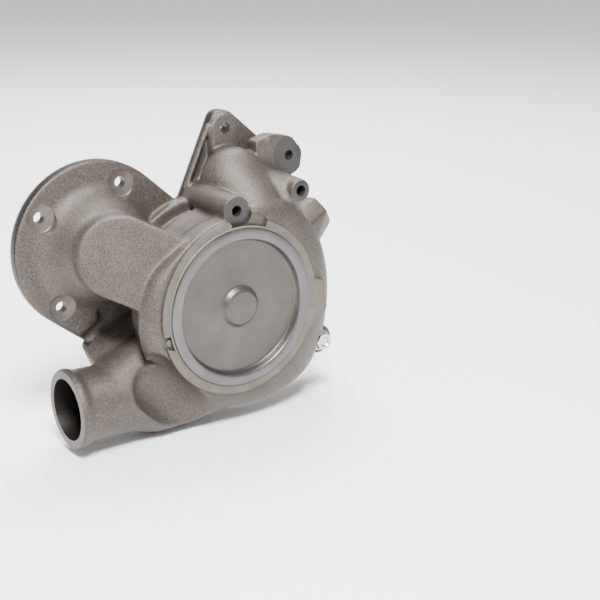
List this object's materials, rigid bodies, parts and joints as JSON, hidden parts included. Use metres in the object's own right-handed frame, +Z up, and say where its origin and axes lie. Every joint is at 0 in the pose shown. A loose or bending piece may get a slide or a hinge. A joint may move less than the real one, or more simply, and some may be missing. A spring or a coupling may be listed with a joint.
{
  "type": "coolant pump",
  "caption": "Gear-driven engine coolant pump: cast housing with round flange, dished front cover, hose stub, impeller, bearings, seals and rear drive gear.",
  "frame": {"origin": "where the shaft axis crosses the machined rear face", "axes": "+Z up, +Y along the shaft towards the engine, +X to the right seen from the front cover"},
  "size_m": [0.2796, 0.1095, 0.2388],
  "materials": {
    "cast_iron": "shot-blasted grey iron casting",
    "steel": "machined steel",
    "cover_steel": "pressed bare steel sheet, satin",
    "zinc": "bright zinc plating",
    "brass": "pressed brass cage with steel balls",
    "rubber": "moulded nitrile rubber",
    "carbon": "lapped carbon graphite",
    "ceramic": "lapped ceramic",
    "gasket_fibre": "grey fibre gasket sheet",
    "sealant": "cured anaerobic sealant"
  },
  "bodies": {
    "housing": {"pump_housing": "cast_iron", "front_cover": "cover_steel", "cover_sealant": "sealant", "gasket": "gasket_fibre", "flange_bolt": "zinc", "rear_bearing_outer_ring": "steel", "front_bearing_outer_ring": "steel", "bearing_circlip": "steel", "oil_seal": "rubber", "face_seal_case": "zinc", "face_seal_bellows": "rubber", "face_seal_spring": "steel", "carbon_face_ring": "carbon"},
    "rotor": {"shaft": "steel", "rear_bearing_inner_ring": "steel", "front_bearing_inner_ring": "steel", "bearing_spacer": "steel", "water_slinger": "rubber", "ceramic_seat": "ceramic", "seat_cup": "rubber", "impeller": "cast_iron", "drive_gear": "steel", "gear_key": "steel", "gear_washer": "zinc", "gear_nut": "zinc"},
    "rear_bearing_cage": {"rear_bearing_cage_and_balls": "brass"},
    "front_bearing_cage": {"front_bearing_cage_and_balls": "brass"}
  },
  "joints": [
    {"name": "shaft_spin", "type": "hinge", "parent": "housing", "child": "rotor", "pos_m": [0, 0, 0], "axis": [0, -1, 0], "continuous": true},
    {"name": "rear_cage_spin", "type": "hinge", "parent": "housing", "child": "rear_bearing_cage", "pos_m": [0, -0.0125, 0], "axis": [0, -1, 0], "continuous": true},
    {"name": "front_cage_spin", "type": "hinge", "parent": "housing", "child": "front_bearing_cage", "pos_m": [0, -0.0295, 0], "axis": [0, -1, 0], "continuous": true}
  ],
  "couplings": [
    {"joint": "rear_cage_spin", "follows": "shaft_spin", "ratio": 0.396},
    {"joint": "front_cage_spin", "follows": "shaft_spin", "ratio": 0.381}
  ]
}
